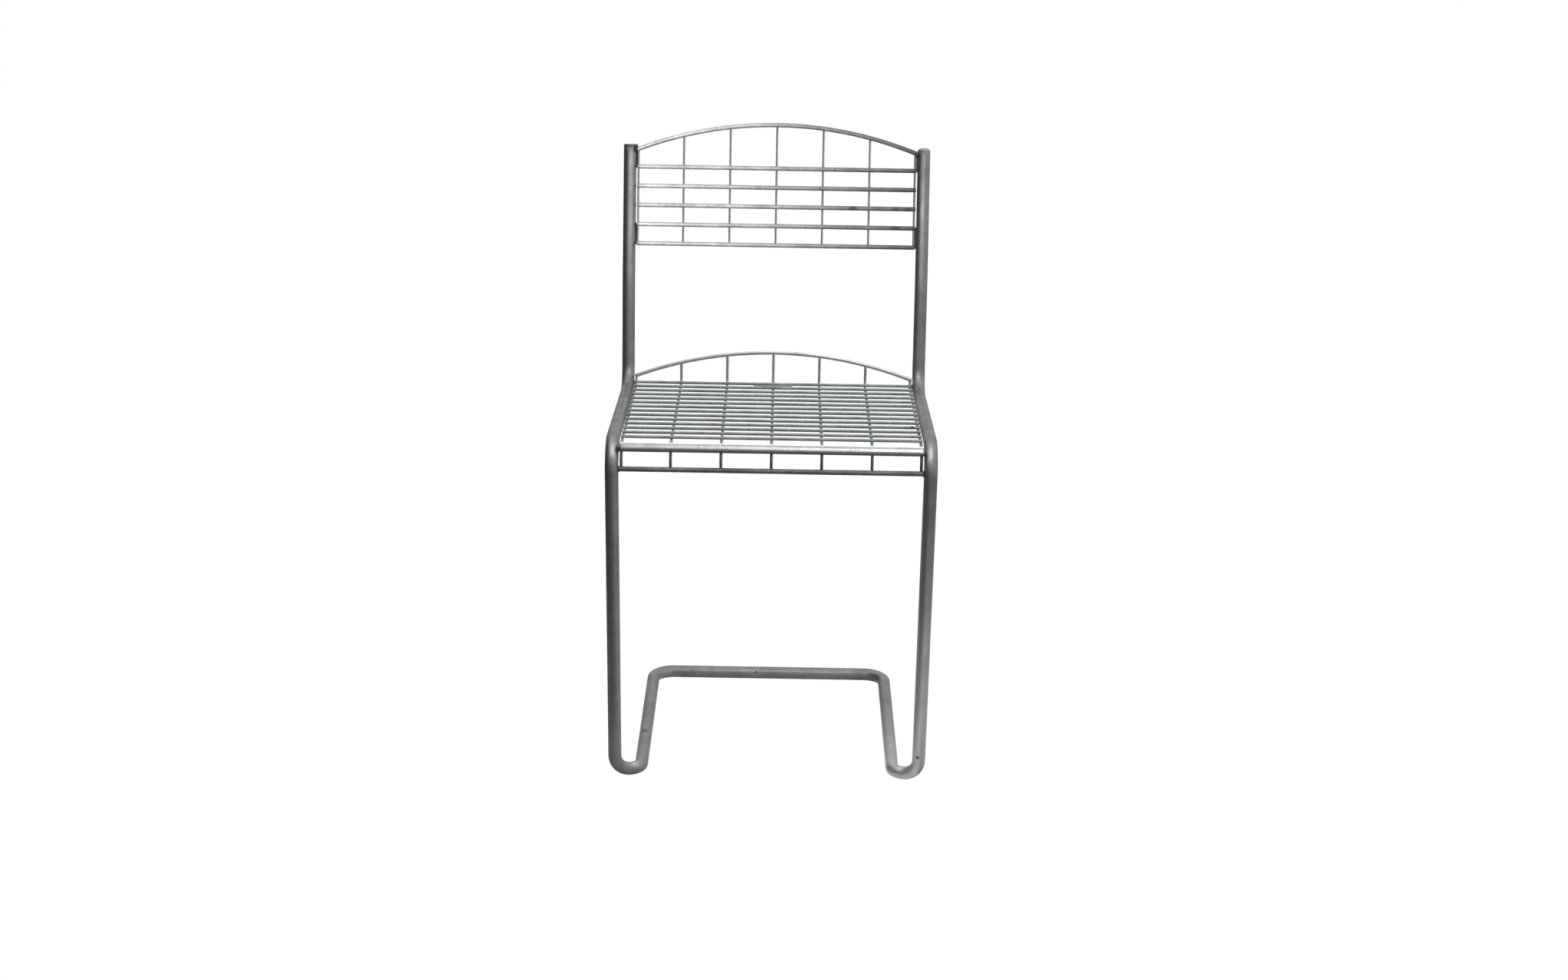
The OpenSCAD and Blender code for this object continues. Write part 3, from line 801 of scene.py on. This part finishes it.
for side, sign in SIDE.items():
    foot_glow, bend_glow = GLINTS[side]
    linked += [
        (f"foot_glint_{side}", (sign * GLINT_X, FOOT_Y + 0.035, 0.14), (sign * GLINT_X, FOOT_Y + 0.005, 0.01),
         (0.05, 0.05), foot_glow, TUBE_NAMES),
        (f"bend_glint_{side}", (sign * HALF_W, FRONT_Y - 0.2, 0.90), (sign * HALF_W, FRONT_Y, FRONT_Z),
         (0.2, 0.2), bend_glow, TUBE_NAMES),
    ]
linked += [
    ("seat_strip", (0.5, -0.4, 2.4), (0.1, -0.1, 0.45), (0.9, 1.6), 1.5, ARCH_NAMES),
    ("seat_top", (0.4, 1.4, 2.4), AIM, (1.8, 1.8), 0.55, SEAT_NAMES + ARCH_NAMES),
    ("rod_strip", (0.85, -2.4, 1.7), (0.1, -0.2, 0.47), (1.2, 2.8), 2.9, ROD_NAMES),
    ("long_flank", (1.3, 3.6, 0.9), AIM, (1.0, 1.6), 5.0, LONG_NAMES + ["seat_weld_spots"]),
    ("stub_flank", (2.6, 0.3, -0.2), (0.0, 0.1, 0.55), (1.6, 1.8), 1.3, LONG_NAMES + UPRIGHT_NAMES),
]
for *lamp, names in linked:
    light_only(softbox(*lamp), names)

world = bpy.data.worlds.new("studio")
world.use_nodes = True
world.node_tree.nodes["Background"].inputs["Color"].default_value = PAGE_WHITE
world.node_tree.nodes["Background"].inputs["Strength"].default_value = 1.0
world.cycles_visibility.glossy = False
world.cycles_visibility.diffuse = False
SCENE.world = world
SCENE.view_settings.view_transform = "Standard"

# ---------------------------------------------------------------- camera

CAMERA_PLACE = Vector((0.0088, -3.3305, 1.3717))
CAMERA_TURN = (0.14, 17.022, 1.0)       # degrees to the right, down, and tilted
CAMERA_LENS, CAMERA_SENSOR = 59.67, 36.0

yaw, pitch, roll = (math.radians(angle) for angle in CAMERA_TURN)
look = Vector((math.sin(yaw) * math.cos(pitch), math.cos(yaw) * math.cos(pitch), -math.sin(pitch)))
right = Vector((math.cos(yaw), -math.sin(yaw), 0))
up = right.cross(look)
right, up = right * math.cos(roll) + up * math.sin(roll), up * math.cos(roll) - right * math.sin(roll)
camera_data = bpy.data.cameras.new("camera")
camera_data.sensor_fit = "HORIZONTAL"
camera_data.sensor_width = CAMERA_SENSOR
camera_data.lens = CAMERA_LENS
camera_data.clip_end = 100
camera = bpy.data.objects.new("camera", camera_data)
SCENE.collection.objects.link(camera)
turned = Matrix((right, up, -look)).transposed().to_4x4()
turned.translation = CAMERA_PLACE
camera.matrix_world = turned
SCENE.camera = camera

bpy.context.view_layer.update()
